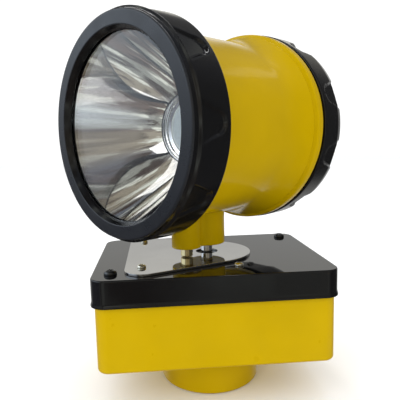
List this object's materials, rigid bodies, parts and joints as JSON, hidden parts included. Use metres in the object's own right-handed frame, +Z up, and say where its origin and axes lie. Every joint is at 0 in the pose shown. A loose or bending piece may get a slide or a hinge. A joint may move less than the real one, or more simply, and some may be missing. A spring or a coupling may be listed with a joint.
{
  "type": "miner's swivelling battery lamp",
  "caption": "Wide spotlight head with a deep chrome reflector, swivelling on a steel spindle above a flat yellow battery box with a black lid.",
  "frame": {"origin": "centre of the round foot's flat bottom face, on the spindle's axis", "axes": "+Z up along the spindle, +X along the box's long side, -Y the box's front; at rest the lamp faces front left, 130 degrees about +Z from +Y"},
  "size_m": [0.144, 0.1429, 0.182],
  "materials": {
    "yellow_plastic": "glossy yellow ABS moulding",
    "black_plastic": "semi-gloss black moulding",
    "black_screw": "black oxide cross-head screw",
    "black_rubber": "matt black rubber",
    "white_nylon": "natural nylon",
    "clear_lens": "clear polished polycarbonate",
    "chrome": "mirror-bright vacuum metallised",
    "stainless_plate": "finely brushed stainless sheet",
    "bright_steel": "bright zinc-plated or polished steel",
    "brass": "turned brass",
    "aluminium": "mill-finish aluminium",
    "circuit_green": "green solder mask",
    "phosphor": "pale LED phosphor coating",
    "cell_wrap": "blue shrink wrap",
    "wire_red": "red PVC insulation",
    "wire_black": "black PVC insulation"
  },
  "bodies": {
    "base": {"base_box": "yellow_plastic", "base_lid": "black_plastic", "lid_gasket": "black_rubber", "foot_pad": "black_rubber", "contact_plate": "stainless_plate", "lid_screw_front": "black_screw", "lid_screw_back": "black_screw", "plate_screw_front": "bright_steel", "plate_screw_back": "bright_steel", "terminal_screw": "bright_steel", "insulating_bush": "black_plastic", "cell_tray": "white_nylon", "battery_cell_1": "cell_wrap", "battery_cell_2": "cell_wrap", "battery_cell_3": "cell_wrap", "cell_strip_negative": "bright_steel", "cell_strip_positive": "bright_steel", "control_board": "circuit_green", "spindle_wiper": "brass", "battery_lead": "wire_black", "plate_lead": "wire_red"},
    "head": {"lamp_barrel": "yellow_plastic", "reflector": "chrome", "led_ring": "chrome", "led_emitter": "phosphor", "led_dome": "clear_lens", "led_board": "aluminium", "heat_sink": "aluminium", "driver_board": "circuit_green", "spindle": "bright_steel", "spindle_nut": "bright_steel", "thrust_washer": "bright_steel", "spindle_clip": "bright_steel", "contact_spring": "bright_steel", "pin_terminal": "brass", "pin_lead": "wire_red", "spindle_lead": "wire_black", "switch_carrier": "black_plastic", "switch_body": "black_plastic"},
    "pin": {"contact_pin": "brass"},
    "lens_carrier": {"lens": "clear_lens", "lens_seal": "black_rubber"},
    "bezel": {"front_bezel": "black_plastic"},
    "cap_carrier": {"cap_seal": "black_rubber"},
    "cap": {"rear_cap": "black_plastic"},
    "button": {"switch_button": "black_rubber"}
  },
  "joints": [
    {"name": "head_swivel", "type": "hinge", "parent": "base", "child": "head", "pos_m": [0, 0, 0.0656], "axis": [0, 0, 1], "continuous": true},
    {"name": "pin_slide", "type": "slide", "parent": "head", "child": "pin", "axis": [0, 0, 1], "range_m": [0, 0.0012], "stiffness_N_per_m": 400, "springref_m": -0.002, "deforming": ["contact_spring"]},
    {"name": "bezel_travel", "type": "slide", "parent": "head", "child": "lens_carrier", "axis": [-0.766, -0.6428, 0], "range_m": [0, 0.004]},
    {"name": "bezel_turn", "type": "hinge", "parent": "lens_carrier", "child": "bezel", "pos_m": [0, 0, 0.1316], "axis": [-0.766, -0.6428, 0], "range_deg": [0, 360]},
    {"name": "cap_travel", "type": "slide", "parent": "head", "child": "cap_carrier", "axis": [0.766, 0.6428, 0], "range_m": [0, 0.004]},
    {"name": "cap_turn", "type": "hinge", "parent": "cap_carrier", "child": "cap", "pos_m": [0, 0, 0.1316], "axis": [0.766, 0.6428, 0], "range_deg": [0, 360]},
    {"name": "switch_press", "type": "slide", "parent": "head", "child": "button", "axis": [-0.766, -0.6428, 0], "range_m": [0, 0.0015], "stiffness_N_per_m": 600, "springref_m": -0.001}
  ],
  "couplings": [
    {"joint": "bezel_travel", "follows": "bezel_turn", "m_per_rad": 0.000636},
    {"joint": "cap_travel", "follows": "cap_turn", "m_per_rad": 0.000636}
  ]
}
